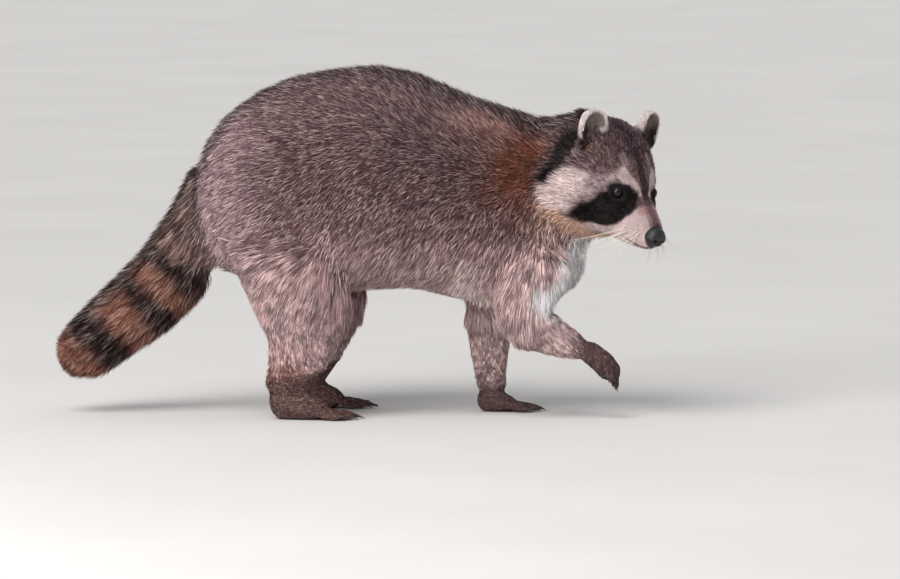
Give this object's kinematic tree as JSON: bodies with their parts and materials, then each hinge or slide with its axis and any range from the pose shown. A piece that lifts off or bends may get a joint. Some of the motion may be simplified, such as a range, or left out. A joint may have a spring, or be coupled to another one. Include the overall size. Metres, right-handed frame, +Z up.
{
  "type": "raccoon, still life-size animal model",
  "caption": "Life-size raccoon in mid-walk: head turned to its right and lowered, right forepaw lifted, bushy ringed tail hanging behind.",
  "frame": {"origin": "on the ground under the middle of the animal's bounding box", "axes": "+X the way it walks (nose end), +Y its left side, +Z up"},
  "size_m": [0.6442, 0.23, 0.3722],
  "materials": {
    "fur_grizzled": "grizzled grey-brown guard hair with pale tips over dark underfur",
    "fur_pale": "paler, longer grey-buff hair of the legs",
    "fur_face": "short face hair: black mask, white brows and cheeks, grizzled forehead",
    "fur_ear": "short white-edged ear hair, grey-brown inside",
    "fur_paw": "very short dark brown hair, with dark horn claws",
    "fur_tail": "long dense tail hair in dark and rusty-buff rings",
    "nose_skin": "bare moist black skin, finely pebbled",
    "eye_gloss": "glossy near-black eye"
  },
  "bodies": {
    "root": {"head": "fur_face", "nose": "nose_skin", "eye_left": "eye_gloss", "eye_right": "eye_gloss", "ear_left": "fur_ear", "ear_right": "fur_ear", "neck": "fur_grizzled", "trunk_chest": "fur_grizzled", "trunk_belly": "fur_grizzled", "trunk_rump": "fur_grizzled", "foreleg_left_upper": "fur_grizzled", "foreleg_left_lower": "fur_pale", "foreleg_left_paw": "fur_paw", "foreleg_right_upper": "fur_grizzled", "foreleg_right_lower": "fur_pale", "foreleg_right_paw": "fur_paw", "hindleg_left_upper": "fur_grizzled", "hindleg_left_lower": "fur_pale", "hindleg_left_paw": "fur_paw", "hindleg_right_upper": "fur_grizzled", "hindleg_right_lower": "fur_pale", "hindleg_right_paw": "fur_paw", "tail_root": "fur_tail", "tail_middle": "fur_tail", "tail_tip": "fur_tail"}
  },
  "joints": []
}
